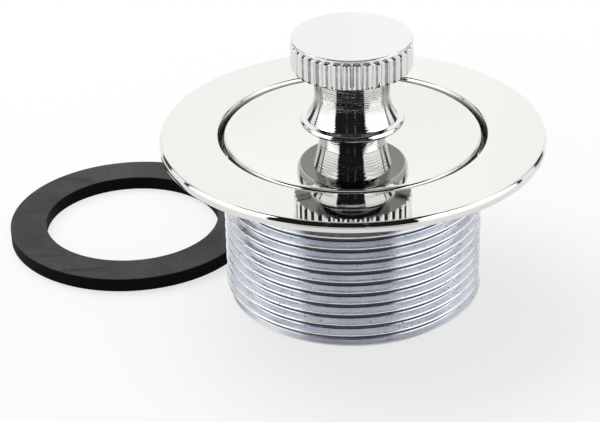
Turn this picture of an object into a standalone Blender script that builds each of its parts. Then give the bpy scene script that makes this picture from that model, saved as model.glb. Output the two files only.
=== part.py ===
"""A lift and turn bath drain, standing on the foot of its shank, with its flat gasket beside it.

The chromed body is one casting: flange, sealing ledge, threaded shank and strainer cross. A post with a
cross pin screws into the cross, and the knob's slotted sleeve runs on that post. Lifted and turned, the
slot's lower leg comes to rest on the pin and holds the drain open. Let down and turned, its upper leg locks
the stopper.
"""

import math

import bmesh
import bpy
from mathutils import Matrix, Vector

# Gaps and edges shared by every piece
seat_gap = 0.0003
running_gap = 0.0005
edge_break = 0.0003
merge_distance = 0.0000001
sharp_angle = math.radians(35)
up = Vector((0, 0, 1))

# Drain body
body_height = 0.0318
flange_diameter = 0.0700
flange_thickness = 0.0019
rim_roll_width = 0.0014
rim_roll_drop = 0.0011
rim_under_radius = 0.0006
opening_diameter = 0.0475
opening_edge_radius = 0.0008
recess_wall = 0.0023
thread_diameter = 0.0475
thread_pitch = 0.00221
thread_depth = 0.0011
thread_lead_in = 0.0009
shank_wall = 0.00325
shoulder_height = 0.0075
body_segments = 48
hub_segments = 24

# Strainer cross inside the shank
hub_diameter = 0.0130
hub_height = 0.0080
hub_floor = 0.0010
strainer_bar_width = 0.0032
strainer_bar_height = 0.0046
strainer_bar_lift = 0.0012
strainer_bar_draft = 0.0006
strainer_bar_root = 0.0011

# Post, its lock nut, cross pin and friction ring
post_diameter = 0.0062
post_head = 0.0080
driver_slot_width = 0.0012
driver_slot_depth = 0.0014
lock_nut_across_flats = 0.0100
lock_nut_thickness = 0.0027
pin_diameter = 0.0020
pin_setback = 0.0003
ring_section = 0.0011
ring_squeeze = 0.0002
ring_below_top = 0.0028
round_segments = 24
pin_segments = 16
ring_segments = 24

# Stopper plate and seal
plate_setback = 0.0003
plate_clearance = 0.00035
plate_thickness = 0.0016
dish_depth = 0.0017
boss_diameter = 0.0160
boss_height = 0.0056
seal_thickness = 0.0018
seal_setback = 0.0006
retainer_setback = 0.0035
retainer_thickness = 0.0010
retainer_nut_across_flats = 0.0200
retainer_nut_thickness = 0.0018
washer_thickness = 0.0008
plate_segments = 44
washer_segments = 24

# Knob, all heights above its base
knob_height = 0.0200
cap_diameter = 0.0218
cap_height = 0.0057
cap_edge = 0.0006
neck_diameter = 0.0137
neck_narrow_height = 0.0091
neck_top_diameter = 0.0160
neck_fillet_height = 0.0022
bead_diameter = 0.0186
bead_underside_height = 0.0039
bead_thickness = 0.0012
flare_diameter = 0.0169
flare_power = 2.7
bead_step = 0.00015
waist_diameter = 0.0126
waist_top_diameter = 0.0146
waist_fillet = 0.0008
flute_count = 40
flute_radius = 0.00075
flute_depth = 0.00045
flute_top_margin = 0.0008
flute_sides = 6

# Sleeve in the knob and its set screw
sleeve_wall = 0.0014
sleeve_clearance = 0.0012
sleeve_end_wall = 0.0005
collar_diameter = 0.0148
collar_thickness = 0.0012
stud_diameter = 0.0080
stud_length = 0.0060
slot_floor = 0.0023
slot_clearance = 0.00035
slot_segments = 16
sleeve_segments = 32
set_screw_diameter = 0.0030
set_screw_below_stud_top = 0.0020
set_screw_socket = 0.0018
set_screw_socket_depth = 0.0010

# How far the stopper lifts and the knob turns
lift_travel = 0.0100
turn_range = math.radians(90)

# Gasket lying beside the body
gasket_thickness = 0.0028
gasket_overhang = 0.00025
gasket_cover = 0.0035
gasket_stand_off = 0.0005
gasket_direction = math.radians(155)
gasket_segments = 48

# Radii that follow from the sizes above
thread_radius = thread_diameter / 2
root_radius = thread_radius - thread_depth
core_radius = root_radius - seat_gap / 2
bore_radius = thread_radius - shank_wall
opening_radius = opening_diameter / 2
plate_radius = opening_radius - plate_clearance
plate_form_radius = plate_radius - plate_thickness / 2
boss_radius = boss_diameter / 2
post_radius = post_diameter / 2
sleeve_bore_radius = post_radius + running_gap
sleeve_radius = sleeve_bore_radius + sleeve_wall
stud_radius = stud_diameter / 2
slot_half = pin_diameter / 2 + slot_clearance
cap_radius = cap_diameter / 2
waist_radius = waist_diameter / 2

# Heights that follow, from the plate down to its seat
plate_edge_top = body_height - plate_setback


def plate_top(radius):
    """Height of the dished plate's upper face at a radius."""
    return plate_edge_top - dish_depth * (1 - (radius / plate_form_radius) ** 2)


def plate_under(radius):
    return plate_top(radius) - plate_thickness


def seal_under(radius):
    return plate_under(radius) - seat_gap - seal_thickness


def retainer_under(radius):
    return seal_under(radius) - seat_gap - retainer_thickness


ledge_height = seal_under(bore_radius) - seat_gap
boss_bottom = plate_under(boss_radius) - boss_height
collar_top = boss_bottom - 2 * seat_gap - washer_thickness

# Heights that follow, from the strainer hub up to the knob
lock_nut_bottom = hub_height + seat_gap
sleeve_bottom = lock_nut_bottom + lock_nut_thickness + sleeve_clearance
pin_height = sleeve_bottom + slot_floor + slot_half + lift_travel
post_bottom = hub_floor + seat_gap
post_top = pin_height + post_head
sleeve_bore_top = post_top + running_gap
sleeve_shoulder = sleeve_bore_top + sleeve_end_wall
stud_top = sleeve_shoulder + stud_length
set_screw_height = stud_top - set_screw_below_stud_top
knob_base = plate_top(waist_radius) + seat_gap
knob_top = knob_base + knob_height
cap_bottom = knob_top - cap_height
bead_underside = knob_base + bead_underside_height


def finish(name, colour, roughness, metallic):
    """A Principled material."""
    made = bpy.data.materials.new(name)
    made.use_nodes = True
    shader = made.node_tree.nodes["Principled BSDF"]
    shader.inputs["Base Color"].default_value = (*colour, 1)
    shader.inputs["Roughness"].default_value = roughness
    shader.inputs["Metallic"].default_value = metallic
    return made


def arc(centre, reach, start, end, steps):
    """Points (radius, height) on part of an ellipse, from start to end in degrees."""
    points = []
    for step in range(steps + 1):
        angle = math.radians(start + (end - start) * step / steps)
        points.append((centre[0] + reach[0] * math.cos(angle), centre[1] + reach[1] * math.sin(angle)))
    return points


def spread(first, last, steps):
    """Evenly spaced values from first to last, both included."""
    return [first + (last - first) * step / steps for step in range(steps + 1)]


def made_object(name, mesh, material, parent=None):
    """Turns a bmesh into a smooth-shaded object whose sharp edges stay sharp."""
    bmesh.ops.remove_doubles(mesh, verts=mesh.verts, dist=merge_distance)
    bmesh.ops.recalc_face_normals(mesh, faces=mesh.faces)
    data = bpy.data.meshes.new(name)
    mesh.to_mesh(data)
    mesh.free()
    data.materials.append(material)
    data.shade_smooth()
    data.set_sharp_from_angle(angle=sharp_angle)
    made = bpy.data.objects.new(name, data)
    made.parent = parent
    bpy.context.collection.objects.link(made)
    return made


def spun(mesh, outline, centre, segments, closed=True):
    """Revolves an outline of (radius, height) points about a vertical axis through centre."""
    points = [mesh.verts.new(centre + Vector((radius, 0, height))) for radius, height in outline]
    edges = [mesh.edges.new(pair) for pair in zip(points, points[1:])]
    if closed:
        edges.append(mesh.edges.new((points[-1], points[0])))
    bmesh.ops.spin(
        mesh, geom=points + edges, cent=centre, axis=up, angle=math.tau, steps=segments, use_merge=True)


def ring(name, outline, segments, material, parent=None):
    """A turned piece with a hole through it, from a closed outline."""
    mesh = bmesh.new()
    spun(mesh, outline, Vector(), segments)
    return made_object(name, mesh, material, parent)


def turned(name, outline, segments, material, parent=None):
    """A turned piece whose outline starts and ends on its axis."""
    mesh = bmesh.new()
    spun(mesh, outline, Vector(), segments, closed=False)
    return made_object(name, mesh, material, parent)


def rod(name, radius, start, end, segments, material, parent=None):
    """A round rod between two points, with broken edges."""
    length = (end - start).length
    outline = [(0, 0), (radius - edge_break, 0), (radius, edge_break), (radius, length - edge_break)]
    outline += [(radius - edge_break, length), (0, length)]
    mesh = bmesh.new()
    spun(mesh, outline, Vector(), segments, closed=False)
    aim = up.rotation_difference(end - start).to_matrix().to_4x4()
    bmesh.ops.transform(mesh, matrix=Matrix.Translation(start) @ aim, verts=mesh.verts)
    return made_object(name, mesh, material, parent)


def block(name, low, high, material, parent=None):
    """A plain box between two corners."""
    mesh = bmesh.new()
    bmesh.ops.create_cube(mesh, size=1)
    bmesh.ops.scale(mesh, vec=high - low, verts=mesh.verts)
    bmesh.ops.translate(mesh, vec=(low + high) / 2, verts=mesh.verts)
    return made_object(name, mesh, material, parent)


def combine(piece, tool, operation):
    """Adds a Boolean to a piece, and keeps its tool out of the model."""
    step = piece.modifiers.new(tool.name, "BOOLEAN")
    step.operation = operation
    step.object = tool
    tool.hide_render = True
    tool.display_type = "WIRE"


def cut(piece, tool):
    combine(piece, tool, "DIFFERENCE")


def fuse(piece, tool):
    combine(piece, tool, "UNION")


def body_outline():
    """The body's section, from the foot up its outside, over the flange and down into the bore."""
    flange_radius = flange_diameter / 2
    flange_under = body_height - flange_thickness
    shoulder_radius = opening_radius + recess_wall
    outline = [(bore_radius + edge_break, 0), (core_radius - edge_break, 0)]
    outline += [(core_radius, edge_break), (core_radius, body_height - shoulder_height)]
    outline += [(shoulder_radius, ledge_height - edge_break)]
    outline += [(shoulder_radius + flange_thickness, flange_under)]
    rim_under = (flange_radius - rim_under_radius, flange_under + rim_under_radius)
    outline += arc(rim_under, (rim_under_radius, rim_under_radius), -90, 0, 2)
    rim_roll = (flange_radius - rim_roll_width, body_height - rim_roll_drop)
    outline += arc(rim_roll, (rim_roll_width, rim_roll_drop), 0, 90, 4)
    opening_edge = (opening_radius + opening_edge_radius, body_height - opening_edge_radius)
    outline += arc(opening_edge, (opening_edge_radius, opening_edge_radius), 90, 180, 3)
    outline += [(opening_radius, ledge_height), (bore_radius + edge_break, ledge_height)]
    outline += [(bore_radius, ledge_height - edge_break), (bore_radius, edge_break)]
    return outline


def strainer_bar(name, turn, material):
    """One bar across the bore, narrower at its top, with its ends inside the shank's wall."""
    half_length = bore_radius + strainer_bar_root
    half_width = strainer_bar_width / 2
    low, high = strainer_bar_lift, strainer_bar_lift + strainer_bar_height
    section = [(-half_width, low), (half_width, low), (half_width - strainer_bar_draft, high)]
    section += [(-half_width + strainer_bar_draft, high)]
    mesh = bmesh.new()
    face = mesh.faces.new([mesh.verts.new((-half_length, across, height)) for across, height in section])
    grown = bmesh.ops.extrude_face_region(mesh, geom=[face])["geom"]
    moved = [item for item in grown if isinstance(item, bmesh.types.BMVert)]
    bmesh.ops.translate(mesh, vec=(2 * half_length, 0, 0), verts=moved)
    bmesh.ops.rotate(mesh, matrix=Matrix.Rotation(turn, 3, "Z"), verts=mesh.verts)
    return made_object(name, mesh, material)


def shank_thread(material):
    """The right-handed thread as a sleeve on the shank's core, with its first turn led in at the foot."""
    start, end = thread_lead_in, body_height - shoulder_height
    mesh = bmesh.new()
    outline = [(root_radius, -thread_pitch), (thread_radius, -thread_pitch / 2), (root_radius, 0)]
    points = [mesh.verts.new((radius, 0, height)) for radius, height in outline]
    edges = [mesh.edges.new(pair) for pair in zip(points, points[1:])]
    bmesh.ops.spin(
        mesh, geom=points + edges, cent=Vector(), axis=up, dvec=up * thread_pitch / body_segments,
        angle=math.tau, steps=body_segments)
    one_turn = mesh.verts[:] + mesh.edges[:] + mesh.faces[:]
    for number in range(1, math.ceil(end / thread_pitch) + 1):
        copied = bmesh.ops.duplicate(mesh, geom=one_turn)["geom"]
        raised = [item for item in copied if isinstance(item, bmesh.types.BMVert)]
        bmesh.ops.translate(mesh, vec=up * thread_pitch * number, verts=raised)
    bmesh.ops.remove_doubles(mesh, verts=mesh.verts, dist=merge_distance)
    for height, outward in ((start, -up), (end, up)):
        bmesh.ops.bisect_plane(
            mesh, geom=mesh.verts[:] + mesh.edges[:] + mesh.faces[:], dist=merge_distance,
            plane_co=(0, 0, height), plane_no=outward, clear_outer=True)
    for point in mesh.verts:
        reach, limit = point.co.xy.length, root_radius + point.co.z - start
        if reach > limit:
            point.co.xy *= limit / reach
    rims = [edge for edge in mesh.edges if edge.is_boundary]
    inward = bmesh.ops.extrude_edge_only(mesh, edges=rims)["geom"]
    for point in [item for item in inward if isinstance(item, bmesh.types.BMVert)]:
        point.co.xy *= (core_radius - seat_gap) / point.co.xy.length
    bmesh.ops.bridge_loops(mesh, edges=[edge for edge in mesh.edges if edge.is_boundary])
    return made_object("shank_thread_form", mesh, material)


def drain_body(chrome):
    body = ring("drain_body", body_outline(), body_segments, chrome)
    fuse(body, shank_thread(chrome))
    hub_radius = hub_diameter / 2
    hub_outline = [(0, 0), (hub_radius - edge_break, 0), (hub_radius, edge_break)]
    hub_outline += [(hub_radius, hub_height - edge_break), (hub_radius - edge_break, hub_height)]
    hub_outline += [(0, hub_height)]
    fuse(body, turned("hub_form", hub_outline, hub_segments, chrome))
    fuse(body, strainer_bar("bar_form_x", 0, chrome))
    fuse(body, strainer_bar("bar_form_y", math.radians(90), chrome))
    hole_bottom, hole_top = Vector((0, 0, hub_floor)), Vector((0, 0, hub_height + running_gap))
    cut(body, rod("post_hole", post_radius + seat_gap, hole_bottom, hole_top, round_segments, chrome))
    return body


def lift_post(brass):
    """The plain post: screwed into the hub, grooved for its friction ring and slotted for a driver."""
    ring_height = post_top - ring_below_top
    groove_half = ring_section / 2 + seat_gap
    groove_radius = post_radius + ring_squeeze - ring_section - seat_gap
    outline = [(0, post_bottom), (post_radius - edge_break, post_bottom)]
    outline += [(post_radius, post_bottom + edge_break)]
    outline += [(post_radius, ring_height - groove_half), (groove_radius, ring_height - groove_half)]
    outline += [(groove_radius, ring_height + groove_half), (post_radius, ring_height + groove_half)]
    outline += [(post_radius, post_top - edge_break), (post_radius - edge_break, post_top), (0, post_top)]
    post = turned("lift_post", outline, round_segments, brass)
    reach = Vector((post_diameter, 0, 0))
    centre = Vector((0, 0, pin_height))
    hole_radius = pin_diameter / 2 + seat_gap
    cut(post, rod("pin_hole", hole_radius, centre - reach, centre + reach, pin_segments, brass))
    slot_low = Vector((-post_diameter, -driver_slot_width / 2, post_top - driver_slot_depth))
    slot_high = Vector((post_diameter, driver_slot_width / 2, post_top + driver_slot_depth))
    cut(post, block("driver_slot", slot_low, slot_high, brass))
    return post


def friction_o_ring(rubber):
    half = ring_section / 2
    centre = (post_radius + ring_squeeze - half, post_top - ring_below_top)
    return ring("friction_o_ring", arc(centre, (half, half), 0, 300, 5), ring_segments, rubber)


def cam_pin(steel):
    """The pin across the post, with both ends standing into the sleeve's slot."""
    end = Vector((sleeve_radius - pin_setback, 0, 0))
    centre = Vector((0, 0, pin_height))
    return rod("cam_pin", pin_diameter / 2, centre - end, centre + end, pin_segments, steel)


def hex_nut(name, across_flats, hole_radius, low, high, material, parent=None):
    """A hexagon nut between two heights, with its corners turned off."""
    corner = across_flats / math.sqrt(3)
    outline = [(0, low), (corner - edge_break, low), (corner, low + edge_break)]
    outline += [(corner, high - edge_break), (corner - edge_break, high), (0, high)]
    nut = turned(name, outline, 6, material, parent)
    below, above = Vector((0, 0, low - running_gap)), Vector((0, 0, high + running_gap))
    cut(nut, rod(name + "_hole", hole_radius, below, above, round_segments, material, parent))
    return nut


def stopper_plate(chrome, parent):
    """The dished plate with its rounded edge and the boss beneath that carries the seal."""
    hole_radius = sleeve_radius + seat_gap
    half = plate_thickness / 2
    outline = [(radius, plate_top(radius)) for radius in spread(hole_radius, plate_form_radius, 4)][:-1]
    outline += arc((plate_form_radius, plate_edge_top - half), (half, half), 90, -90, 4)
    outline += [(radius, plate_under(radius)) for radius in spread(plate_form_radius, boss_radius, 3)][1:]
    outline += [(boss_radius, boss_bottom + edge_break), (boss_radius - edge_break, boss_bottom)]
    outline += [(hole_radius, boss_bottom)]
    return ring("stopper_plate", outline, plate_segments, chrome, parent)


def dished_ring(name, outer_radius, thickness, under, steps, material, parent):
    """A ring that follows the plate's dish, round the boss."""
    inner_radius = boss_radius + seat_gap
    radii = spread(inner_radius, outer_radius - edge_break, steps)
    outline = [(radius, under(radius) + thickness) for radius in radii]
    outline += [(outer_radius, under(outer_radius) + thickness - edge_break)]
    outline += [(outer_radius, under(outer_radius) + edge_break)]
    outline += [(radius, under(radius)) for radius in reversed(radii)]
    return ring(name, outline, plate_segments, material, parent)


def knob_outline():
    """The knob's section: cap, concave neck, bead, waist, then up its bore to the stud's tapped hole."""
    neck_radius = neck_diameter / 2
    neck_narrow = knob_base + neck_narrow_height
    bead_radius = bead_diameter / 2
    bead_half = bead_thickness / 2
    flare_radius = flare_diameter / 2
    flare_bottom = bead_underside + bead_thickness + bead_step
    waist_top_radius = waist_top_diameter / 2
    neck_top_reach = neck_top_diameter / 2 - neck_radius
    outline = [(0, knob_top), (cap_radius - cap_edge, knob_top)]
    outline += arc((cap_radius - cap_edge, knob_top - cap_edge), (cap_edge, cap_edge), 60, 0, 2)
    outline += [(cap_radius, cap_bottom + edge_break), (cap_radius - edge_break, cap_bottom)]
    fillet_centre = (neck_radius + neck_top_reach, cap_bottom - neck_fillet_height)
    outline += arc(fillet_centre, (neck_top_reach, neck_fillet_height), 90, 180, 3)
    for share in spread(0, 1, 4):
        radius = neck_radius + (flare_radius - neck_radius) * share ** flare_power
        outline.append((radius, neck_narrow + (flare_bottom - neck_narrow) * share))
    bead_centre = (bead_radius - bead_half, bead_underside + bead_half)
    outline += arc(bead_centre, (bead_half, bead_half), 75, -45, 3)
    waist_centre = (waist_top_radius + waist_fillet, bead_underside - waist_fillet)
    outline += arc(waist_centre, (waist_fillet, waist_fillet), 90, 180, 2)
    waist_bottom = knob_base + edge_break
    for share in spread(1, 0, 2)[1:]:
        radius = waist_radius + (waist_top_radius - waist_radius) * share ** 2
        outline.append((radius, waist_bottom + (waist_centre[1] - waist_bottom) * share))
    outline += [(waist_radius - edge_break, knob_base)]
    bore = sleeve_radius + seat_gap
    tapped = stud_radius + seat_gap
    outline += [(bore, knob_base), (bore, sleeve_shoulder + seat_gap), (tapped, sleeve_shoulder + seat_gap)]
    outline += [(tapped, stud_top + seat_gap), (0, stud_top + seat_gap + tapped / 2)]
    return outline


def flute_cutter(material, parent):
    """Ball-nosed cutters all round the cap, each run up from below it."""
    centre_radius = cap_radius + flute_radius - flute_depth
    bite_half = math.sqrt(flute_radius ** 2 - (flute_radius - flute_depth) ** 2)
    nose_height = knob_top - flute_top_margin - bite_half
    outline = [(0, cap_bottom - flute_radius), (flute_radius, cap_bottom - flute_radius)]
    outline += arc((0, nose_height), (flute_radius, flute_radius), 0, 90, 2)
    pitch = math.tau / flute_count
    mesh = bmesh.new()
    for _ in range(flute_count):
        bmesh.ops.rotate(mesh, matrix=Matrix.Rotation(pitch, 3, "Z"), verts=mesh.verts)
        spun(mesh, outline, Vector((centre_radius, 0, 0)), flute_sides, closed=False)
    bmesh.ops.rotate(mesh, matrix=Matrix.Rotation(pitch / 2, 3, "Z"), verts=mesh.verts)
    return made_object("flute_cutter", mesh, material, parent)


def knob(chrome, parent):
    piece = turned("knob", knob_outline(), flute_count, chrome, parent)
    cut(piece, flute_cutter(chrome, parent))
    inner = Vector((0, stud_radius, set_screw_height))
    outer = Vector((0, cap_radius, set_screw_height))
    hole_radius = set_screw_diameter / 2 + seat_gap
    cut(piece, rod("set_screw_hole", hole_radius, inner, outer, pin_segments, chrome, parent))
    return piece


def knob_set_screw(steel, parent):
    """The grub screw at the back of the neck, with its hexagon socket."""
    inner = Vector((0, stud_radius + seat_gap, set_screw_height))
    outer = Vector((0, neck_diameter / 2 - seat_gap, set_screw_height))
    screw = rod("knob_set_screw", set_screw_diameter / 2, inner, outer, pin_segments, steel, parent)
    socket_floor = outer - Vector((0, set_screw_socket_depth, 0))
    socket_mouth = outer + Vector((0, running_gap, 0))
    corner = set_screw_socket / math.sqrt(3)
    cut(screw, rod("screw_socket", corner, socket_floor, socket_mouth, 6, steel, parent))
    return screw


def cam_slot_leg(name, height, material, parent):
    """Two opposite curved legs of the cam slot at one height, each as long as the knob turns."""
    inner, outer = post_radius, sleeve_radius + seat_gap
    mesh = bmesh.new()
    for side in (1, -1):
        section = [(inner, -slot_half), (outer, -slot_half), (outer, slot_half), (inner, slot_half)]
        points = [mesh.verts.new((side * radius, 0, height + rise)) for radius, rise in section]
        grown = bmesh.ops.spin(
            mesh, geom=[mesh.faces.new(points)], cent=Vector(), axis=up, angle=-turn_range, steps=9)
    return made_object(name, mesh, material, parent)


def cam_sleeve(brass, parent):
    """The barrel on the post, with a collar under the plate, a stud into the knob and the C-shaped slot."""
    collar_radius = collar_diameter / 2
    collar_bottom = collar_top - collar_thickness
    outline = [(0, stud_top), (stud_radius - edge_break, stud_top), (stud_radius, stud_top - edge_break)]
    outline += [(stud_radius, sleeve_shoulder), (sleeve_radius, sleeve_shoulder)]
    outline += [(sleeve_radius, collar_top), (collar_radius, collar_top), (collar_radius, collar_bottom)]
    outline += [(sleeve_radius, collar_bottom), (sleeve_radius, sleeve_bottom + edge_break)]
    outline += [(sleeve_radius - edge_break, sleeve_bottom), (sleeve_bore_radius, sleeve_bottom)]
    outline += [(sleeve_bore_radius, sleeve_bore_top), (0, sleeve_bore_top)]
    sleeve = turned("cam_sleeve", outline, sleeve_segments, brass, parent)
    lower, upper = pin_height - lift_travel, pin_height
    reach = sleeve_radius + seat_gap
    slot_low, slot_high = Vector((-reach, -slot_half, lower)), Vector((reach, slot_half, upper))
    cut(sleeve, block("cam_slot_rise", slot_low, slot_high, brass, parent))
    for name, height in (("cam_slot_lower", lower), ("cam_slot_upper", upper)):
        cut(sleeve, cam_slot_leg(name, height, brass, parent))
        for end_name, turn in (("_start", 0), ("_end", -turn_range)):
            out = Vector((math.cos(turn), math.sin(turn), 0)) * (reach + slot_half)
            low_end, high_end = Vector((0, 0, height)) - out, Vector((0, 0, height)) + out
            cut(sleeve, rod(name + end_name, slot_half, low_end, high_end, slot_segments, brass, parent))
    return sleeve


def flat_ring(name, inner, outer, low, high, segments, material, parent=None):
    outline = [(inner, low), (outer - edge_break, low), (outer, low + edge_break)]
    outline += [(outer, high - edge_break), (outer - edge_break, high), (inner, high)]
    return ring(name, outline, segments, material, parent)


def thrust_washer(nylon, parent):
    bore, edge = sleeve_radius + seat_gap, collar_diameter / 2
    bottom = collar_top + seat_gap
    top = bottom + washer_thickness
    return flat_ring("thrust_washer", bore, edge, bottom, top, washer_segments, nylon, parent)


def gasket(rubber):
    """The flat ring that the shank's foot is screwed down onto, set down clear of the body."""
    outer = thread_radius + gasket_overhang
    inner = bore_radius - gasket_cover
    distance = thread_radius + outer + gasket_stand_off
    piece = flat_ring("gasket", inner, outer, 0, gasket_thickness, gasket_segments, rubber)
    piece.location = Vector((math.cos(gasket_direction), math.sin(gasket_direction), 0)) * distance
    return piece


def axis_empty(name, parent=None):
    """An empty on the drain's axis, which carries what moves there."""
    empty = bpy.data.objects.new(name, None)
    empty.parent = parent
    bpy.context.collection.objects.link(empty)
    return empty


def build():
    for old in list(bpy.data.objects):
        bpy.data.objects.remove(old)
    chrome = finish("chrome", (0.82, 0.82, 0.83), 0.06, 1.0)
    brass = finish("brass", (0.72, 0.56, 0.28), 0.30, 1.0)
    steel = finish("steel", (0.60, 0.60, 0.60), 0.30, 1.0)
    rubber = finish("rubber", (0.035, 0.034, 0.033), 0.75, 0.0)
    nylon = finish("nylon", (0.85, 0.84, 0.80), 0.50, 0.0)
    lift = axis_empty("stopper_lift_axis")
    turn = axis_empty("knob_turn_axis", lift)

    drain_body(chrome)
    lift_post(brass)
    lock_nut_top = lock_nut_bottom + lock_nut_thickness
    lock_nut_hole = post_radius + seat_gap
    hex_nut("post_lock_nut", lock_nut_across_flats, lock_nut_hole, lock_nut_bottom, lock_nut_top, brass)
    cam_pin(steel)
    friction_o_ring(rubber)

    stopper_plate(chrome, lift)
    seal_radius = plate_radius - seal_setback
    dished_ring("stopper_seal", seal_radius, seal_thickness, seal_under, 2, rubber, lift)
    retainer_radius = bore_radius - retainer_setback
    dished_ring("seal_retainer", retainer_radius, retainer_thickness, retainer_under, 1, brass, lift)
    nut_top = retainer_under(boss_radius) - seat_gap
    nut_bottom = nut_top - retainer_nut_thickness
    nut_hole = boss_radius + seat_gap
    hex_nut("retainer_nut", retainer_nut_across_flats, nut_hole, nut_bottom, nut_top, brass, lift)

    knob(chrome, turn)
    knob_set_screw(steel, turn)
    cam_sleeve(brass, turn)
    thrust_washer(nylon, turn)

    gasket(rubber)


build()
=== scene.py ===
import math

import bmesh
import bpy
from mathutils import Matrix, Vector


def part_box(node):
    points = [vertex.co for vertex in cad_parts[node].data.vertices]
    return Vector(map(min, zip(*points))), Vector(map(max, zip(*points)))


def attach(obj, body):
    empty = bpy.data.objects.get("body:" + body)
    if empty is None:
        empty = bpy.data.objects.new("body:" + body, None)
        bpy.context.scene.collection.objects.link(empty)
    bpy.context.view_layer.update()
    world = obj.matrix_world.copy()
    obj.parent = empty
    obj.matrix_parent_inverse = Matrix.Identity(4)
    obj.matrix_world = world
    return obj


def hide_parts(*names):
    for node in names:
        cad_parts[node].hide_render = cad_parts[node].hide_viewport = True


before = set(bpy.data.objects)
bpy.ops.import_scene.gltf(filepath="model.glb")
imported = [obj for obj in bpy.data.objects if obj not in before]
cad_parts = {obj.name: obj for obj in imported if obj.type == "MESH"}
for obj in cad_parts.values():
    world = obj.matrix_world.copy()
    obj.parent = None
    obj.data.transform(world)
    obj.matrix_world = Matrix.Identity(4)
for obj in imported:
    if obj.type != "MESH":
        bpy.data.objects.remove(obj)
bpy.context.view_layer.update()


# Drain body
# One brass casting, turned all over, polished and chromed: the flange that lies on the bath,
# the recess that takes the stopper, the sealing ledge below it and the core of the shank.

def curve(centre, reach, start, end, steps):
    """Points (radius, height) on part of an ellipse, from start to end in degrees."""
    points = []
    for step in range(steps + 1):
        angle = math.radians(start + (end - start) * step / steps)
        points.append((centre[0] + reach[0] * math.cos(angle), centre[1] + reach[1] * math.sin(angle)))
    return points


def straight(first, last, margin=0.07):
    """A straight run with a point just inside each end, so that smooth shading stays off it."""
    start, end = Vector(first), Vector(last)
    inset = (end - start).normalized() * margin
    return [tuple(start), tuple(start + inset), tuple(end - inset), tuple(end)]


def lathe(outline, steps=240, closed=True):
    """A bmesh turned about the drain's axis from (radius, height) points in millimetres."""
    mesh = bmesh.new()
    dots = [mesh.verts.new((radius, 0, height)) for radius, height in outline]
    lines = [mesh.edges.new(pair) for pair in zip(dots, dots[1:])]
    if closed:
        lines.append(mesh.edges.new((dots[-1], dots[0])))
    bmesh.ops.spin(
        mesh, geom=dots + lines, cent=(0, 0, 0), axis=(0, 0, 1), angle=math.tau, steps=steps, use_merge=True)
    bmesh.ops.remove_doubles(mesh, verts=mesh.verts, dist=0.0005)
    return mesh


def metres(mesh):
    """Scales a bmesh from millimetres to metres."""
    bmesh.ops.scale(mesh, vec=(0.001, 0.001, 0.001), verts=mesh.verts)


def finished(name, mesh, finishes, slot, body, *nodes):
    """Turns a bmesh in millimetres into a smooth piece that stands for CAD nodes and rides on their body."""
    bmesh.ops.recalc_face_normals(mesh, faces=mesh.faces)
    metres(mesh)
    data = bpy.data.meshes.new(name)
    mesh.to_mesh(data)
    mesh.free()
    for finish in finishes:
        data.materials.append(finish)
    data.shade_smooth()
    data.set_sharp_from_angle(angle=math.radians(30))
    made = bpy.data.objects.new(name, data)
    bpy.context.scene.collection.objects.link(made)
    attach(made, body)
    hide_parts(*nodes)
    return made


def surface(name, colour, metallic, roughness):
    """A new material with its plain colour and gloss, its node tree and its shader."""
    made = bpy.data.materials.new(name)
    made.use_nodes = True
    tree = made.node_tree
    shader = tree.nodes["Principled BSDF"]
    shader.inputs["Base Color"].default_value = (*colour, 1)
    shader.inputs["Metallic"].default_value = metallic
    shader.inputs["Roughness"].default_value = roughness
    return made, tree, shader


def grain(tree, scale, detail=2, stretch=(1, 1, 1), roughness=0.5):
    """Noise fixed to the piece, finer for a larger scale, drawn out where stretch is small."""
    place = tree.nodes.new("ShaderNodeTexCoord")
    mapping = tree.nodes.new("ShaderNodeMapping")
    noise = tree.nodes.new("ShaderNodeTexNoise")
    mapping.inputs["Scale"].default_value = stretch
    noise.inputs["Scale"].default_value = scale
    noise.inputs["Detail"].default_value = detail
    noise.inputs["Roughness"].default_value = roughness
    tree.links.new(place.outputs["Object"], mapping.inputs["Vector"])
    tree.links.new(mapping.outputs["Vector"], noise.inputs["Vector"])
    return noise.outputs["Fac"]


def level(tree, value, low, high, to_low, to_high):
    """Maps a value from one range to another, held at both ends."""
    ramp = tree.nodes.new("ShaderNodeMapRange")
    ramp.inputs["From Min"].default_value = low
    ramp.inputs["From Max"].default_value = high
    ramp.inputs["To Min"].default_value = to_low
    ramp.inputs["To Max"].default_value = to_high
    tree.links.new(value, ramp.inputs["Value"])
    return ramp.outputs["Result"]


def mirror_chrome():
    """Buffed chrome: a mirror with a breath of haze where the cloth passed."""
    made, tree, shader = surface("mirror_chrome", (0.685, 0.682, 0.670), 1.0, 0.03)
    haze = level(tree, grain(tree, 160, 3, (1, 1, 3)), 0.35, 0.75, 0.015, 0.05)
    tree.links.new(haze, shader.inputs["Roughness"])
    return made


def unbuffed_and_shaded_chrome():
    """The recess's wall: dull where the buff doesn't reach, and painted dark grey as the shade in the recess.
    """
    made, tree, shader = surface("unbuffed_and_shaded_chrome", (0.36, 0.36, 0.365), 1.0, 0.35)
    dull = level(tree, grain(tree, 1500, 3, (1, 1, 4)), 0.3, 0.75, 0.25, 0.45)
    tree.links.new(dull, shader.inputs["Roughness"])
    return made


polished = mirror_chrome()
flange_radius = 35.0
flange_top = 31.8
flange_underside = 29.9
rim_arc = 1.5
rim_corner = 0.35
opening_radius = 23.75
opening_edge = 0.4
ledge_height = 27.2
bore_radius = 20.5
core_radius = 22.5
core_top = 24.3
break_edge = 0.3

# The foot, the outside of the core and the cone under the flange
body_outline = straight((bore_radius + break_edge, 0), (core_radius - break_edge, 0))
body_outline += straight((core_radius, break_edge), (core_radius, core_top))
body_outline += straight((26.05, 26.9), (27.95, flange_underside))
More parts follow.
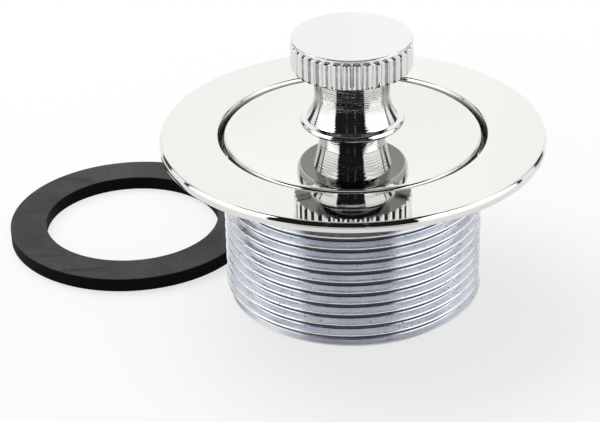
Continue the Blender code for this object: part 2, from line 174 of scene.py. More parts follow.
# The flange's underside, its rim and its top
body_outline += straight((28.1, flange_underside), (34.65, flange_underside))[1:]
body_outline += curve((34.73, 30.12), (0.22, 0.22), -80, -10, 6)
body_outline += curve((flange_radius - rim_arc, 30.82), (rim_arc, rim_arc), -6, 30, 12)
body_outline += curve((34.45, flange_top - rim_corner), (rim_corner, rim_corner), 35, 90, 8)
body_outline += straight((34.35, flange_top), (24.85, flange_top))
# The opening's rounded edge and the cone below it
body_outline += curve((24.75, flange_top - opening_edge), (opening_edge, opening_edge), 90, 160, 8)
body_outline += straight((24.37, 31.5), (24.27, 31.25), 0.05)
body_outline += straight((24.25, 31.2), (23.93, 30.45)) + [(23.80, 30.1)]
# The recess's wall, the sealing ledge and the bore
body_outline += straight((opening_radius, 29.8), (opening_radius, ledge_height))
body_outline += straight((opening_radius - 0.05, ledge_height), (bore_radius + break_edge, ledge_height))
body_outline += straight((bore_radius, ledge_height - break_edge), (bore_radius, break_edge))
body = lathe(body_outline)
# The recess's wall and the foot of the opening's cone take the dull chrome with painted shade
for face in body.faces:
    middle = face.calc_center_median()
    reach = math.hypot(middle.x, middle.y)
    in_recess = 23 < reach < 24.3 and 27 < middle.z < 31.24
    face.material_index = 1 if in_recess else 0
finished("body_turning", body, [polished, unbuffed_and_shaded_chrome()], "chrome", "drain", "drain_body")


# Shank thread
# The trade thread cut on the shank, 1-7/8 inches at 11.5 threads an inch, with rounded crests and
# roots. The chrome is thin and bluish in the grooves, pitted on the crests, and darker and dull at the
# foot. Each crest carries a painted highlight and each root painted shade.

def reckon(tree, operation, *values):
    """A math node on numbers or other nodes' outputs."""
    node = tree.nodes.new("ShaderNodeMath")
    node.operation = operation
    for socket, value in zip(node.inputs, values):
        if isinstance(value, (int, float)):
            socket.default_value = value
        else:
            tree.links.new(value, socket)
    return node.outputs[0]


def blended(tree, amount, first, second):
    """A colour between two others, each a plain colour or another node's output."""
    mix = tree.nodes.new("ShaderNodeMix")
    mix.data_type = "RGBA"
    tree.links.new(amount, mix.inputs[0])
    for socket, colour in ((mix.inputs[6], first), (mix.inputs[7], second)):
        if isinstance(colour, tuple):
            socket.default_value = (*colour, 1)
        else:
            tree.links.new(colour, socket)
    return mix.outputs[2]


def relief(tree, shader, height, depth, strength):
    """Bump from a height, depth in metres."""
    bump = tree.nodes.new("ShaderNodeBump")
    bump.inputs["Strength"].default_value = strength
    bump.inputs["Distance"].default_value = depth
    tree.links.new(height, bump.inputs["Height"])
    tree.links.new(bump.outputs["Normal"], shader.inputs["Normal"])


def own_place(tree):
    """A point's place on the piece, whole and as its three parts."""
    place = tree.nodes.new("ShaderNodeTexCoord").outputs["Object"]
    parts = tree.nodes.new("ShaderNodeSeparateXYZ")
    tree.links.new(place, parts.inputs[0])
    return place, *parts.outputs


def groove_chrome():
    """Thin plating: a painted highlight on the crests, bluish on the flanks, painted shade darkening the
    roots almost to black, with pits.
    """
    made, tree, shader = surface("groove_chrome", (0.56, 0.60, 0.68), 1.0, 0.2)
    thin, thicker = (0.58, 0.62, 0.69), (0.68, 0.71, 0.77)
    # The crests' painted highlight, a near-black for the pits that also paints shade in the roots, and the
    # foot's darker tone
    crest_highlight, pits_and_root_shade, darker_foot = (0.90, 0.91, 0.93), (0.03, 0.032, 0.038), (0.56, 0.57, 0.59)
    place, _, _, rise = own_place(tree)
    flat = tree.nodes.new("ShaderNodeVectorMath")
    flat.operation = "MULTIPLY"
    flat.inputs[1].default_value = (1, 1, 0)
    tree.links.new(place, flat.inputs[0])
    out = tree.nodes.new("ShaderNodeVectorMath")
    out.operation = "LENGTH"
    tree.links.new(flat.outputs[0], out.inputs[0])
    from_axis = out.outputs["Value"]
    # Painted highlight on the crests, brighter than the chrome elsewhere
    crest = level(tree, from_axis, 0.02345, 0.02368, 0, 1)
    # Painted shade in the roots, under each crest
    root_shade = level(tree, from_axis, 0.02266, 0.02269, 0.97, 0)
    # Darker and duller over the lowest 1.6 mm of the foot, towards the table
    foot = level(tree, rise, 0.0008, 0.0016, 1, 0)
    clouds = level(tree, grain(tree, 220, 3), 0.35, 0.7, 0, 1)
    pits = level(tree, grain(tree, 2600, 1), 0.70, 0.74, 0, 1)
    plating = blended(tree, crest, blended(tree, clouds, thin, thicker), crest_highlight)
    plating = blended(tree, reckon(tree, "MAXIMUM", pits, root_shade), plating, pits_and_root_shade)
    tree.links.new(blended(tree, foot, plating, darker_foot), shader.inputs["Base Color"])
    drawn = grain(tree, 900, 4, (1, 1, 6))
    dull = reckon(tree, "MULTIPLY_ADD", foot, 0.25, level(tree, drawn, 0.3, 0.8, 0.14, 0.30))
    tree.links.new(dull, shader.inputs["Roughness"])
    relief(tree, shader, drawn, 0.00001, 0.5)
    return made


thread_pitch = 2.21
thread_crest = 23.75
thread_root = 22.65
thread_top = core_top
foot_chamfer = 0.9
hidden_edge = 22.3
steps_a_turn = 144
thread_depth = thread_crest - thread_root
# One side of a tooth as (out from the root, up), and the other side its mirror image
flank = [(0, 0), (0.005, 0.08), (0.02, 0.16), (0.05, 0.25)]
flank += straight((0.11, 0.36), (thread_depth - 0.07, 0.95), 0.05)
flank += [(thread_depth - 0.02, 1.0), (thread_depth, 1.06)]
tooth = [(thread_root + out, up) for out, up in flank]
tooth += [(thread_root + out, thread_pitch - up) for out, up in reversed(flank)]
thread = bmesh.new()
dots = [thread.verts.new((radius, 0, height - 2 * thread_pitch)) for radius, height in tooth]
lines = [thread.edges.new(pair) for pair in zip(dots, dots[1:])]
bmesh.ops.spin(
    thread, geom=dots + lines, cent=(0, 0, 0), axis=(0, 0, 1), dvec=(0, 0, thread_pitch / steps_a_turn),
    angle=math.tau, steps=steps_a_turn)
turn = thread.verts[:] + thread.edges[:] + thread.faces[:]
for number in range(1, math.ceil(thread_top / thread_pitch) + 2):
    copy = bmesh.ops.duplicate(thread, geom=turn)["geom"]
    raised = [item for item in copy if isinstance(item, bmesh.types.BMVert)]
    bmesh.ops.translate(thread, vec=(0, 0, number * thread_pitch), verts=raised)
bmesh.ops.remove_doubles(thread, verts=thread.verts, dist=0.002)
for height, facing in ((0, -1), (thread_top, 1)):
    bmesh.ops.bisect_plane(
        thread, geom=thread.verts[:] + thread.edges[:] + thread.faces[:], dist=0.001,
        plane_co=(0, 0, height), plane_no=(0, 0, facing), clear_outer=True)
for dot in thread.verts:
    reach = math.hypot(dot.co.x, dot.co.y)
    limit = thread_crest - foot_chamfer + dot.co.z
    if reach > limit:
        dot.co.xy *= limit / reach
# Both ends go in to the core, and a hidden tube joins them
rims = [edge for edge in thread.edges if edge.is_boundary]
inward = bmesh.ops.extrude_edge_only(thread, edges=rims)["geom"]
for dot in (item for item in inward if isinstance(item, bmesh.types.BMVert)):
    dot.co.xy *= hidden_edge / math.hypot(dot.co.x, dot.co.y)
bmesh.ops.bridge_loops(thread, edges=[edge for edge in thread.edges if edge.is_boundary])
finished("shank_thread", thread, [groove_chrome()], "chrome", "drain", "drain_body")


# Strainer cross
# Four cast bars and a round hub across the bore, left as cast under the chrome. The hub is
# drilled and tapped for the post.

def cast_chrome():
    """Chrome over a sand-cast skin: dull, with a fine orange peel."""
    made, tree, shader = surface("cast_chrome", (0.62, 0.63, 0.64), 1.0, 0.3)
    skin = grain(tree, 1400, 4)
    tree.links.new(level(tree, skin, 0.3, 0.7, 0.22, 0.42), shader.inputs["Roughness"])
    relief(tree, shader, skin, 0.00004, 0.6)
    return made


hub_radius = 6.5
hub_height = 8.0
tapped_radius = 3.4
tapped_floor = 1.0
bar_length, bar_width, bar_height = 16.4, 3.2, 4.6
bar_taper = 0.62
bar_middle = (13.4, 0, 3.5)
hub_outline = straight((0, 0), (hub_radius - 0.3, 0))
hub_outline += straight((hub_radius, 0.3), (hub_radius, hub_height - 0.3))
hub_outline += straight((hub_radius - 0.3, hub_height), (tapped_radius, hub_height))
hub_outline += [(tapped_radius, tapped_floor), (0, tapped_floor)]
strainer = lathe(hub_outline, 96, closed=False)
for turn in (0, 90, 180, 270):
    bar = bmesh.ops.create_cube(strainer, size=1)["verts"]
    bmesh.ops.scale(strainer, vec=(bar_length, bar_width, bar_height), verts=bar)
    for dot in bar:
        if dot.co.z > 0:
            dot.co.y *= bar_taper
    edges = {edge for dot in bar for edge in dot.link_edges}
    rounded = bmesh.ops.bevel(
        strainer, geom=list(edges), offset=0.35, segments=3, profile=0.5, affect="EDGES", material=-1)
    bar = {dot for face in rounded["faces"] for dot in face.verts} | {dot for dot in bar if dot.is_valid}
    bmesh.ops.translate(strainer, vec=bar_middle, verts=list(bar))
    quarter = Matrix.Rotation(math.radians(turn), 3, "Z")
    bmesh.ops.rotate(strainer, cent=(0, 0, 0), matrix=quarter, verts=list(bar))
finished("strainer_cross", strainer, [cast_chrome()], "chrome", "drain", "drain_body")


# Post, lock nut, cross pin and friction ring
# A turned brass post screwed into the hub and locked by a hexagon nut. A ground steel pin goes
# through it, and a rubber ring in its groove drags inside the sleeve.

def dress(node, finish):
    """Gives a CAD node its finish."""
    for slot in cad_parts[node].material_slots:
        slot.material = finish


def turned_brass():
    """Brass from the lathe: fine rings round it, and tarnish in clouds."""
    made, tree, shader = surface("turned_brass", (0.72, 0.53, 0.24), 1.0, 0.28)
    marks = grain(tree, 1500, 2, (0.05, 0.05, 4))
    tarnish = level(tree, grain(tree, 180, 4), 0.4, 0.75, 0, 1)
    tone = blended(tree, tarnish, (0.74, 0.56, 0.27), (0.55, 0.37, 0.15))
    tree.links.new(tone, shader.inputs["Base Color"])
    tree.links.new(level(tree, marks, 0.3, 0.7, 0.2, 0.42), shader.inputs["Roughness"])
    relief(tree, shader, marks, 0.00002, 0.5)
    return made


def ground_steel():
    """Steel with the fine lines of the grinding wheel."""
    made, tree, shader = surface("ground_steel", (0.56, 0.56, 0.57), 1.0, 0.22)
    marks = grain(tree, 2600, 2, (4, 0.1, 0.1))
    tree.links.new(level(tree, marks, 0.3, 0.7, 0.16, 0.34), shader.inputs["Roughness"])
    relief(tree, shader, marks, 0.00001, 0.4)
    return made


def moulded_rubber():
    """Black rubber from a mould, with a pale bloom in places."""
    made, tree, shader = surface("moulded_rubber", (0.022, 0.021, 0.020), 0.0, 0.6)
    shader.inputs["Specular IOR Level"].default_value = 0.35
    bloom = level(tree, grain(tree, 300, 4), 0.45, 0.8, 0, 1)
    tone = blended(tree, bloom, (0.020, 0.019, 0.018), (0.045, 0.044, 0.042))
    tree.links.new(tone, shader.inputs["Base Color"])
    skin = grain(tree, 5000, 2)
    tree.links.new(level(tree, skin, 0.3, 0.7, 0.5, 0.75), shader.inputs["Roughness"])
    relief(tree, shader, skin, 0.00002, 0.5)
    return made


brass = turned_brass()
steel = ground_steel()
rubber = moulded_rubber()
dress("lift_post", brass)
dress("post_lock_nut", brass)
dress("cam_pin", steel)
dress("friction_o_ring", rubber)


# Cam sleeve and thrust washer
# The brass sleeve that slides and turns on the post, with its slot round the pin and its stud
# in the knob. A white nylon washer runs between its collar and the plate's boss.

def natural_nylon():
    """Undyed nylon: milky, with light going a little way into it."""
    made, tree, shader = surface("natural_nylon", (0.80, 0.79, 0.74), 0.0, 0.42)
    shader.inputs["Subsurface Weight"].default_value = 0.1
    shader.inputs["Subsurface Radius"].default_value = (0.001, 0.001, 0.001)
    skin = grain(tree, 1800, 3)
    tree.links.new(level(tree, skin, 0.3, 0.7, 0.36, 0.5), shader.inputs["Roughness"])
    relief(tree, shader, skin, 0.00001, 0.4)
    return made


dress("cam_sleeve", brass)
washer_inner, washer_outer = 5.3, 7.2
washer_low, washer_high = (corner.z * 1000 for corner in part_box("thrust_washer"))
washer_middle = (washer_low + washer_high) / 2
washer_outline = straight((washer_inner, washer_low), (washer_outer, washer_low))
washer_outline += curve((washer_outer, washer_middle), (0.2, (washer_high - washer_low) / 2), -60, 60, 4)
washer_outline += straight((washer_outer, washer_high), (washer_inner, washer_high))
finished("nylon_washer", lathe(washer_outline, 120), [natural_nylon()], "nylon", "knob", "thrust_washer")


# Stopper plate
# A brass stamping with its edge rolled round and a boss brazed beneath, polished and chromed like
# the flange around it. It is dished 1.7 mm, and its upper face a little more.

plate_edge = 22.6
plate_crown = 31.5
plate_gauge = 1.6
dish = 1.7
face_dish = 1.95
boss_radius = 8.0
boss_bore = 5.3
boss_low = 22.8


def plate_face(radius, depth=dish):
    """Height of the dished plate at a radius, in millimetres."""
    return plate_crown - depth * (1 - (radius / plate_edge) ** 2)


def dished(inner, outer, drop, steps, depth=dish):
    """Points on a face that follows the dish, at a depth below the plate."""
    radii = [inner + (outer - inner) * step / steps for step in range(steps + 1)]
    return [(radius, plate_face(radius, depth) - drop) for radius in radii]


plate_outline = dished(boss_bore, plate_edge, 0, 40, face_dish)
plate_outline += curve((plate_edge + 0.2, plate_crown - 0.58), (0.58, 0.6), 82, -40, 14)
plate_outline += curve((plate_edge + 0.2, plate_crown - 1.05), (0.58, 0.55), -45, -82, 6)
plate_outline += reversed(dished(boss_radius + 0.5, plate_edge, plate_gauge, 24))
boss_corner = (boss_radius + 0.5, plate_face(boss_radius + 0.5) - plate_gauge - 0.5)
plate_outline += curve(boss_corner, (0.5, 0.5), 100, 180, 5)
plate_outline += straight((boss_radius, 26.9), (boss_radius, boss_low + 0.3))
plate_outline += straight((boss_radius - 0.3, boss_low), (boss_bore, boss_low))
finished("dished_plate", lathe(plate_outline), [polished], "chrome", "stopper", "stopper_plate")


# Seal, retainer and nut
# A moulded black rubber ring clamped up under the plate by a pressed brass ring and a thin
# hexagon nut on the boss.

clamped_bore = 8.3
seal_edge, seal_top, seal_bottom = 22.3, 1.9, 3.7
retainer_edge, retainer_top, retainer_bottom = 16.8, 4.0, 5.0
seal_outline = dished(clamped_bore, seal_edge, seal_top, 20)
seal_outline += curve((seal_edge, plate_face(seal_edge) - 2.8), (0.5, 0.9), 80, -80, 10)
seal_outline += reversed(dished(clamped_bore, seal_edge, seal_bottom, 20))
finished("rubber_seal", lathe(seal_outline), [rubber], "rubber", "stopper", "stopper_seal")
retainer_outline = dished(clamped_bore, retainer_edge, retainer_top, 12)
retainer_outline += curve((retainer_edge, plate_face(retainer_edge) - 4.5), (0.2, 0.5), 70, -70, 6)
retainer_outline += reversed(dished(clamped_bore, retainer_edge, retainer_bottom, 12))
finished("pressed_retainer", lathe(retainer_outline), [brass], "brass", "stopper", "seal_retainer")
dress("retainer_nut", brass)


# Knob
# Turned in one piece from brass bar, with a bead and a concave neck, fluted round its cap with a
# ball-nosed cutter and chromed. Fine rings from the turning tool still show on the neck.

def turned_chrome():
    """Chrome over turned brass: below the cap, feed marks that make its reflections ragged."""
    plated, shaded = (0.68, 0.68, 0.674), (0.28, 0.275, 0.27)
    made, tree, shader = surface("turned_chrome", plated, 1.0, 0.05)
    place, _, _, rise = own_place(tree)
    # The undersides of the bead and of the cap, painted dark as the shade beneath them
    undersides = [
        reckon(tree, "COMPARE", rise, (low + high) / 2, (high - low) / 2)
        for low, high in ((0.03330, 0.03349), (0.04448, 0.04458))]
    tone = blended(tree, reckon(tree, "MAXIMUM", *undersides), plated, shaded)
    tree.links.new(tone, shader.inputs["Base Color"])
    marks = tree.nodes.new("ShaderNodeTexWave")
    marks.bands_direction = "Z"
    marks.inputs["Scale"].default_value = 780
    marks.inputs["Distortion"].default_value = 2.5
    marks.inputs["Detail"].default_value = 3
    marks.inputs["Detail Scale"].default_value = 0.6
    tree.links.new(place, marks.inputs["Vector"])
    chatter = grain(tree, 2600, 3, (0.06, 0.06, 1.0), 0.7)
    height = reckon(tree, "MULTIPLY_ADD", marks.outputs["Fac"], 0.6, chatter)
    below_cap = level(tree, rise, 0.0440, 0.0446, 1, 0.04)
    on_flare = level(tree, rise, 0.0370, 0.0405, 2.4, 1)
    ridged = reckon(tree, "MULTIPLY", height, reckon(tree, "MULTIPLY", below_cap, on_flare))
    worn = grain(tree, 500, 3, (1, 1, 3))
    tree.links.new(level(tree, worn, 0.35, 0.75, 0.03, 0.10), shader.inputs["Roughness"])
    relief(tree, shader, ridged, 0.000009, 1.0)
    return made


cap_low, cap_high = 44.532, 50.232
cap_radius = 10.9
flute_top = 49.88
flute_nose = 1.1
neck_radius, neck_height = 6.85, 39.33
flare_spread, flare_drop = 1.45, 4.43
bead_low = 33.36
waist_top = bead_low - 0.13
waist_radius, waist_spread = 6.1, 0.65
knob_foot = plate_face(6.3, face_dish) + 0.03
sleeve_bore, stud_bore = 5.3, 4.3
stud_foot, stud_top, drill_tip = 35.15, 41.15, 43.3

# The cap's top, its edge, its side with close rows where the flutes run out, and its underside
knob_outline = [(0, cap_high), (2.0, cap_high), (cap_radius - 0.27, cap_high)]
knob_outline += curve((cap_radius - 0.252, cap_high - 0.3), (0.3, 0.3), 86, 33, 8)
flute_rows = [flute_top + 0.06 - 0.08 * row for row in range(15)]
knob_outline += [(cap_radius, height) for height in flute_rows + [47.5, 46.2, 45.2, cap_low + 0.3]]
knob_outline += [(cap_radius - 0.09, cap_low + 0.09), (cap_radius - 0.3, cap_low), (10.38, cap_low)]
knob_outline += straight((10.3, cap_low), (8.1, cap_low))[1:]
# The neck, and the flare down to the ledge above the bead
knob_outline += curve((8.0, cap_low - 2.2), (1.15, 2.2), 92, 180, 18)
for step in range(1, 31):
    share = step / 30
    knob_outline.append((neck_radius + flare_spread * share ** 2.2, neck_height - flare_drop * share))
knob_outline += curve((8.50, 35.05), (0.25, 0.25), 222, 263, 6)
knob_outline += straight((8.50, 34.795), (9.10, 34.72), 0.03)
# The bead, the waist below it and the bore for the sleeve and its stud
knob_outline += curve((9.068, 34.424), (0.3, 0.3), 80, 37, 7)
knob_outline += curve((8.724, 34.183), (0.72, 0.72), 33, -80, 16)
knob_outline += curve((6.88, waist_top), (0.13, 0.13), 84, 180, 6)
for step in range(1, 13):
    share = 1 - step / 12
    height = knob_foot + (waist_top - knob_foot) * share
    knob_outline.append((waist_radius + waist_spread * share ** 2, height))
knob_outline += [(sleeve_bore, knob_foot), (sleeve_bore, stud_foot), (stud_bore, stud_foot)]
knob_outline += [(stud_bore, stud_top), (0, drill_tip)]

flutes = 40
flute_radius = 0.8
flute_centre = cap_radius + 0.35
pitch_angle = math.tau / flutes
knob = bmesh.new()
dots = [knob.verts.new((radius, 0, height)) for radius, height in knob_outline]
lines = [knob.edges.new(pair) for pair in zip(dots, dots[1:])]
bmesh.ops.spin(
    knob, geom=dots + lines, cent=(0, 0, 0), axis=(0, 0, 1), angle=pitch_angle, steps=16)
# One flute is cut in this wedge, which is then repeated round the knob
for dot in knob.verts:
    reach = math.hypot(dot.co.x, dot.co.y)
    if reach < 10.4 or dot.co.z < cap_low - 0.01:
        continue
    off = math.atan2(dot.co.y, dot.co.x) - pitch_angle / 2
    nose = max(0, dot.co.z - flute_top + flute_nose) * flute_radius / flute_nose
    bite = flute_radius ** 2 - nose ** 2 - (flute_centre * math.sin(off)) ** 2
    if bite > 0:
        cut = flute_centre * math.cos(off) - math.sqrt(bite)
        if cut < reach:
            dot.co.xy *= cut / reach
bmesh.ops.spin(
    knob, geom=knob.verts[:] + knob.edges[:] + knob.faces[:], cent=(0, 0, 0), axis=(0, 0, 1),
    angle=math.tau - pitch_angle, steps=flutes - 1, use_duplicate=True)
bmesh.ops.remove_doubles(knob, verts=knob.verts, dist=0.0005)
turned = finished("fluted_knob", knob, [turned_chrome()], "chrome", "knob", "knob")


# Knob set screw
# A short steel grub screw with a hexagon socket, let into the back of the neck and tightened on
# the sleeve's stud. Its hole is drilled here.

screw_height = 38.85
hole_radius, hole_depth = 1.8, 6
drill = bmesh.new()
bmesh.ops.create_cone(
    drill, cap_ends=True, segments=48, radius1=hole_radius, radius2=hole_radius, depth=hole_depth)
bmesh.ops.rotate(drill, cent=(0, 0, 0), matrix=Matrix.Rotation(math.radians(90), 3, "X"), verts=drill.verts)
bmesh.ops.translate(drill, vec=(0, 7.0, screw_height), verts=drill.verts)
metres(drill)
drill_data = bpy.data.meshes.new("set_screw_drill")
drill.to_mesh(drill_data)
drill.free()
drill_piece = bpy.data.objects.new("set_screw_drill", drill_data)
bpy.context.scene.collection.objects.link(drill_piece)
hole = turned.modifiers.new("set_screw_hole", "BOOLEAN")
hole.object = drill_piece
bored = bpy.data.meshes.new_from_object(turned.evaluated_get(bpy.context.evaluated_depsgraph_get()))
turned.modifiers.remove(hole)
cleaned = bmesh.new()
cleaned.from_mesh(bored)
bmesh.ops.remove_doubles(cleaned, verts=cleaned.verts, dist=0.0000005)
cleaned.to_mesh(bored)
cleaned.free()
turned.data = bored
bpy.data.objects.remove(drill_piece)
dress("knob_set_screw", steel)


# Gasket
# A flat ring die-cut from black rubber sheet, with square edges. Its faces are greyed by talc and
# handling, with faint scuffs, and the cut sides are clean and black.

def sheet_rubber():
    """The ring's faces: clouded grey, with pale scuffs and dark strokes."""
    made, tree, shader = surface("sheet_rubber", (0.05, 0.048, 0.045), 0.0, 0.7)
    shader.inputs["Specular IOR Level"].default_value = 0.2
    clouds = level(tree, grain(tree, 90, 4, roughness=0.6), 0.3, 0.75, 0, 1)
    scuffs = level(tree, grain(tree, 420, 3, (1, 0.12, 1), 0.7), 0.62, 0.78, 0, 0.5)
    strokes = level(tree, grain(tree, 260, 3, (0.2, 1, 1), 0.65), 0.60, 0.68, 0, 0.55)
    tone = blended(tree, clouds, (0.042, 0.039, 0.036), (0.080, 0.077, 0.073))
    tone = blended(tree, scuffs, tone, (0.12, 0.115, 0.11))
    tone = blended(tree, strokes, tone, (0.018, 0.017, 0.016))
    tree.links.new(tone, shader.inputs["Base Color"])
    skin = grain(tree, 2400, 4)
    tree.links.new(level(tree, skin, 0.3, 0.7, 0.55, 0.85), shader.inputs["Roughness"])
    relief(tree, shader, skin, 0.00003, 0.6)
    return made


def cut_rubber():
    """The ring's cut sides: black, with the faint upright drag of the die."""
    made, tree, shader = surface("cut_rubber", (0.004, 0.004, 0.0045), 0.0, 0.6)
    shader.inputs["Specular IOR Level"].default_value = 0.03
    drag = grain(tree, 900, 3, (1, 1, 0.15))
    tone = blended(tree, drag, (0.002, 0.002, 0.0023), (0.006, 0.006, 0.0063))
    tree.links.new(tone, shader.inputs["Base Color"])
    relief(tree, shader, drag, 0.00004, 0.6)
    return made


ring_inner, ring_outer = 17.0, 24.0
ring_gauge = 2.8
lower_edge, upper_edge = 0.15, 0.12
ring_outline = straight((ring_inner + lower_edge, 0), (ring_outer - lower_edge, 0))
ring_outline += straight((ring_outer, lower_edge), (ring_outer, ring_gauge - upper_edge))
ring_outline += straight((ring_outer - upper_edge, ring_gauge), (ring_inner + upper_edge, ring_gauge))
ring_outline += straight((ring_inner, ring_gauge - upper_edge), (ring_inner, lower_edge))
ring = lathe(ring_outline)
bmesh.ops.recalc_face_normals(ring, faces=ring.faces)
for face in ring.faces:
    face.material_index = 0 if abs(face.normal.z) > 0.6 else 1
low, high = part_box("gasket")
bmesh.ops.translate(ring, vec=((low.x + high.x) * 500, (low.y + high.y) * 500, 0), verts=ring.verts)
finished("flat_gasket", ring, [sheet_rubber(), cut_rubber()], "rubber", "gasket", "gasket")


# Floor
# A matt white table that goes over into the white behind it. It keeps the soft shadows close to
# the drain, and the chrome mirrors it a little greyer in front and beside.

def times(tree, first, second):
    """The product of two numbers or outputs."""
    return reckon(tree, "MULTIPLY", first, second)


def distance(tree, value, middle):
    """How far a value lies from a middle one."""
    return reckon(tree, "ABSOLUTE", reckon(tree, "SUBTRACT", value, middle))


def white_table():
    """Matt white that keeps a pale shadow, and goes over into pure white further out."""
    mirrored_white = 1.09
    gap_side, patch_away = 2.1, 0.098
    made, tree, shader = surface("white_table", (0.90, 0.90, 0.90), 0.0, 0.9)
    shader.inputs["Specular IOR Level"].default_value = 0.0
    place, x, y, _ = own_place(tree)
    out = tree.nodes.new("ShaderNodeVectorMath")
    out.operation = "LENGTH"
    tree.links.new(place, out.inputs[0])
    away = out.outputs["Value"]
    path = tree.nodes.new("ShaderNodeLightPath").outputs
    seen = reckon(tree, "MAXIMUM", path["Is Camera Ray"], path["Is Glossy Ray"])
    fade = times(tree, level(tree, away, 0.05, 0.13, 0.66, 1), seen)
    # Bearings go round the drain in radians, from the side that the camera is on
    side = reckon(tree, "ABSOLUTE", reckon(tree, "ARCTAN2", x, times(tree, y, -1)))
    # The mirrored white is greyer in front, in a gap towards the back on each side, and in the
    # patch that the middle flutes of the knob's cap mirror
    near = reckon(tree, "ADD", level(tree, away, 0.06, 0.08, 0, 0.12), level(tree, away, 0.10, 0.12, 0, 0.25))
    front = times(tree, level(tree, side, 0.55, 0.38, 0, 1), near)
    gap = times(
        tree, level(tree, distance(tree, side, gap_side), 0.14, 0.07, 0, 0.35),
        level(tree, away, 0.06, 0.08, 0, 1))
    patch = times(
        tree, level(tree, distance(tree, away, patch_away), 0.017, 0.012, 0, 0.5),
        level(tree, side, 0.62, 0.45, 0, 1))
    mirrored = reckon(tree, "SUBTRACT", mirrored_white, front)
    mirrored = reckon(tree, "SUBTRACT", mirrored, reckon(tree, "ADD", gap, patch))
    change = times(tree, path["Is Glossy Ray"], reckon(tree, "SUBTRACT", mirrored, 1))
    white = tree.nodes.new("ShaderNodeEmission")
    tree.links.new(reckon(tree, "ADD", 1, change), white.inputs["Strength"])
    blend = tree.nodes.new("ShaderNodeMixShader")
    tree.links.new(fade, blend.inputs[0])
    tree.links.new(shader.outputs["BSDF"], blend.inputs[1])
    tree.links.new(white.outputs["Emission"], blend.inputs[2])
    tree.links.new(blend.outputs["Shader"], tree.nodes["Material Output"].inputs["Surface"])
    return made


table_radius = 0.17
table = bmesh.new()
bmesh.ops.create_circle(table, cap_ends=True, segments=96, radius=table_radius)
table_data = bpy.data.meshes.new("table")
table.to_mesh(table_data)
table.free()
table_data.materials.append(white_table())
table_top = bpy.data.objects.new("table", table_data)
bpy.context.scene.collection.objects.link(table_top)


# Studio
# White paper behind, a tall soft box on each side, a pale light straight above and the dark room
# behind the camera, which the chrome mirrors. One soft lamp, behind and to the left, casts the shadows.

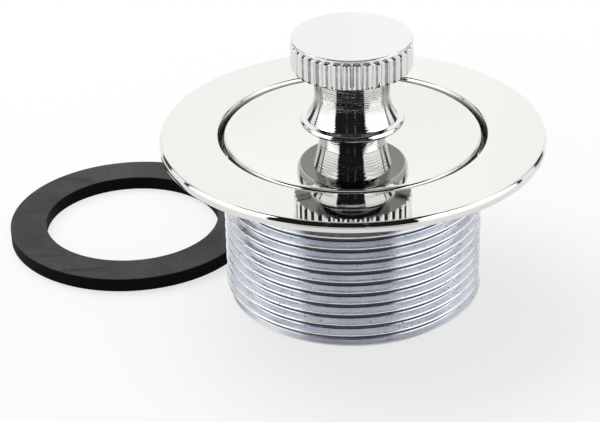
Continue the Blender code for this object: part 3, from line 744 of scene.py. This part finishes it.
def studio():
    """The room that the chrome mirrors, and plain white for everything else."""
    paper_light, right_drop, wing_drop, wing_foot = 1.30, 0.034, 0.33, 0.25
    room_light, ceiling_light = 0.014, 0.6
    strips = ((8, 0.30), (-15, 0.17))
    box_light, box_top_gain = 1.47, 1.17
    narrow_gap, wide_gap, gap_depth = 106, 130, 0.95
    world = bpy.data.worlds.new("studio")
    world.use_nodes = True
    tree = world.node_tree
    tree.nodes.clear()
    place = tree.nodes.new("ShaderNodeTexCoord")
    parts = tree.nodes.new("ShaderNodeSeparateXYZ")
    tree.links.new(place.outputs["Generated"], parts.inputs[0])
    x, y, rise = parts.outputs
    # Bearing from the camera's side and climb above the table, in degrees
    bearing = times(tree, reckon(tree, "ARCTAN2", x, times(tree, y, -1)), 180 / math.pi)
    climb = times(tree, reckon(tree, "ARCSINE", rise), 180 / math.pi)
    side = reckon(tree, "ABSOLUTE", bearing)

    def edge(value, start, end):
        """Rises softly from 0 at start to 1 at end."""
        ramp = tree.nodes.new("ShaderNodeMapRange")
        ramp.interpolation_type = "SMOOTHSTEP"
        ramp.inputs["From Min"].default_value = start
        ramp.inputs["From Max"].default_value = end
        tree.links.new(value, ramp.inputs["Value"])
        return ramp.outputs["Result"]

    # White paper behind, greyer towards its sides, but less so near the table
    wing = edge(side, 162, 148)
    light = reckon(tree, "SUBTRACT", paper_light, times(tree, edge(bearing, 176, 174), right_drop))
    light = reckon(tree, "SUBTRACT", light, times(tree, wing, wing_drop))
    light = reckon(tree, "ADD", light, times(tree, times(tree, wing, edge(climb, 16, 10)), wing_foot))
    light = times(tree, light, times(tree, edge(climb, 58, 55), edge(side, 103, 105)))
    # The dark room in front, the pale light above and two strips of daylight
    light = reckon(tree, "MAXIMUM", light, room_light)
    light = reckon(tree, "MAXIMUM", light, times(tree, edge(climb, 70, 76), ceiling_light))
    for strip_bearing, strip_light in strips:
        strip = edge(distance(tree, bearing, strip_bearing), 1.6, 0.4)
        strip = times(tree, strip, reckon(tree, "MAXIMUM", edge(climb, 0, -4), edge(climb, 26, 30)))
        strip = times(tree, strip, edge(climb, 48, 42))
        light = reckon(tree, "MAXIMUM", light, times(tree, strip, strip_light))
    # A soft box on each side of it, taller towards the back and brighter at the top
    top = times(tree, reckon(tree, "SUBTRACT", side, 36), 0.8)
    top = reckon(tree, "MINIMUM", 49, reckon(tree, "ADD", 30, top))
    box = reckon(tree, "MAXIMUM", edge(bearing, 35, 37), edge(bearing, -47, -49))
    box = times(tree, box, edge(side, 105, 103))
    box = times(tree, box, edge(reckon(tree, "SUBTRACT", climb, top), 1.5, -1.5))
    glow = reckon(tree, "ADD", box_light, times(tree, edge(climb, 26, 36), box_top_gain))
    light = reckon(tree, "MAXIMUM", light, times(tree, box, glow))
    # Two dark gaps between each box and the paper, the wide one low down
    narrow = edge(distance(tree, side, narrow_gap), 3, 1.5)
    wide = times(tree, edge(distance(tree, side, wide_gap), 8, 6), edge(climb, 26, 22))
    gaps = times(tree, reckon(tree, "MAXIMUM", narrow, wide), gap_depth)
    light = times(tree, light, reckon(tree, "SUBTRACT", 1, gaps))

    path = tree.nodes.new("ShaderNodeLightPath").outputs
    mirrored = tree.nodes.new("ShaderNodeBackground")
    mirrored.inputs["Color"].default_value = (1.0, 0.995, 0.985, 1)
    tree.links.new(light, mirrored.inputs["Strength"])
    plain = tree.nodes.new("ShaderNodeBackground")
    plain.inputs["Color"].default_value = (1, 1, 1, 1)
    seen = reckon(tree, "ADD", times(tree, path["Is Camera Ray"], 0.4), 0.6)
    tree.links.new(seen, plain.inputs["Strength"])
    blend = tree.nodes.new("ShaderNodeMixShader")
    tree.links.new(path["Is Glossy Ray"], blend.inputs[0])
    tree.links.new(plain.outputs["Background"], blend.inputs[1])
    tree.links.new(mirrored.outputs["Background"], blend.inputs[2])
    output = tree.nodes.new("ShaderNodeOutputWorld")
    tree.links.new(blend.outputs["Shader"], output.inputs["Surface"])
    return world


bpy.context.scene.world = studio()
lamp_size = 0.5
lamp_power = 2.4
lamp_place = Vector((-0.22, 0.26, 0.55))
lamp_data = bpy.data.lights.new("soft_lamp", "AREA")
lamp_data.size = lamp_size
lamp_data.energy = lamp_power
lamp = bpy.data.objects.new("soft_lamp", lamp_data)
lamp.location = lamp_place
lamp.rotation_euler = (-lamp_place).to_track_quat("-Z", "Y").to_euler()
lamp.visible_glossy = False
bpy.context.scene.collection.objects.link(lamp)


# Camera
# A long lens from 35 cm, 28 degrees above the table, turned a little so that the drain stands to
# the right of the middle.

camera_distance = 0.350
camera_height = math.radians(28.08)
camera_lean = math.radians(-0.48)
aim = Vector((0, 0, 0.020))
focal_pixels = 1902.2
turn_pixels = Vector((53.0, -23.6))
picture_width = 600
level_view = Vector((0, math.cos(camera_height), -math.sin(camera_height)))
across = Vector((1, 0, 0))
pan = Matrix.Rotation(math.atan2(turn_pixels.x, focal_pixels), 3, across.cross(level_view))
across, view = pan @ across, pan @ level_view
tilt = Matrix.Rotation(math.atan2(turn_pixels.y, focal_pixels), 3, across)
view = tilt @ view
across = Matrix.Rotation(-camera_lean, 3, view) @ across
camera_data = bpy.data.cameras.new("camera")
camera_data.sensor_width = 36
camera_data.lens = focal_pixels / picture_width * camera_data.sensor_width
camera_data.clip_start = 0.01
camera = bpy.data.objects.new("camera", camera_data)
axes = Matrix((across, across.cross(view), -view)).transposed().to_4x4()
camera.matrix_world = Matrix.Translation(aim - camera_distance * level_view) @ axes
bpy.context.scene.collection.objects.link(camera)
bpy.context.scene.camera = camera
bpy.context.scene.view_settings.view_transform = "Standard"
